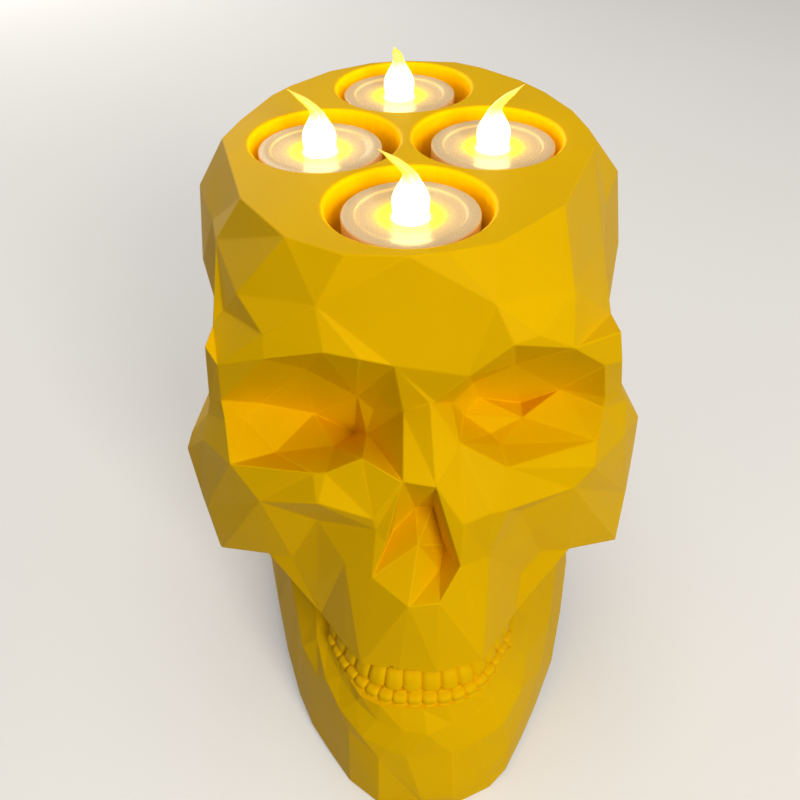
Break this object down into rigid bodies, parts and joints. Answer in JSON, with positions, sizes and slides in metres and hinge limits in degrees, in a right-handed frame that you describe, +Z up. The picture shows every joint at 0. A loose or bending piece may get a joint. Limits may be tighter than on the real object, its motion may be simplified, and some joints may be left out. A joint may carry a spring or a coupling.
{
  "type": "skull candle holder",
  "caption": "Facetted skull candle holder, cut flat on top, with round pockets that each hold an LED tea light with a flame-shaped cap and a slide switch.",
  "frame": {"origin": "bottom centre of the bounding box: the plane that the chin and the nape rest on", "axes": "+Z up, -Y the way the face looks, +X to the right of a person who looks at the face"},
  "size_m": [0.141, 0.2, 0.1927],
  "materials": {
    "skull": "satin printed plastic with faint layers",
    "light_shell": "ivory, lightly satin",
    "flame": "clear-milky, lit from inside",
    "lamp": "clear resin",
    "white_plastic": "moulded",
    "battery": "bright steel can",
    "contact": "sprung strip",
    "switch": "black, moulded"
  },
  "bodies": {
    "holder": {"skull": "skull", "front_shell": "light_shell", "front_flame": "flame", "front_led": "lamp", "front_chassis": "white_plastic", "front_battery": "battery", "front_upper_contact": "contact", "front_side_contact": "contact", "front_battery_door": "white_plastic", "left_shell": "light_shell", "left_flame": "flame", "left_led": "lamp", "left_chassis": "white_plastic", "left_battery": "battery", "left_upper_contact": "contact", "left_side_contact": "contact", "left_battery_door": "white_plastic", "right_shell": "light_shell", "right_flame": "flame", "right_led": "lamp", "right_chassis": "white_plastic", "right_battery": "battery", "right_upper_contact": "contact", "right_side_contact": "contact", "right_battery_door": "white_plastic", "back_shell": "light_shell", "back_flame": "flame", "back_led": "lamp", "back_chassis": "white_plastic", "back_battery": "battery", "back_upper_contact": "contact", "back_side_contact": "contact", "back_battery_door": "white_plastic"},
    "front_slider": {"front_switch": "switch"},
    "left_slider": {"left_switch": "switch"},
    "right_slider": {"right_switch": "switch"},
    "back_slider": {"back_switch": "switch"}
  },
  "joints": [
    {"name": "front_switch_slide", "type": "slide", "parent": "holder", "child": "front_slider", "axis": [1, 0, 0], "range_m": [-0.002, 0]},
    {"name": "left_switch_slide", "type": "slide", "parent": "holder", "child": "left_slider", "axis": [1, 0, 0], "range_m": [-0.002, 0]},
    {"name": "right_switch_slide", "type": "slide", "parent": "holder", "child": "right_slider", "axis": [1, 0, 0], "range_m": [-0.002, 0]},
    {"name": "back_switch_slide", "type": "slide", "parent": "holder", "child": "back_slider", "axis": [1, 0, 0], "range_m": [-0.002, 0]}
  ]
}
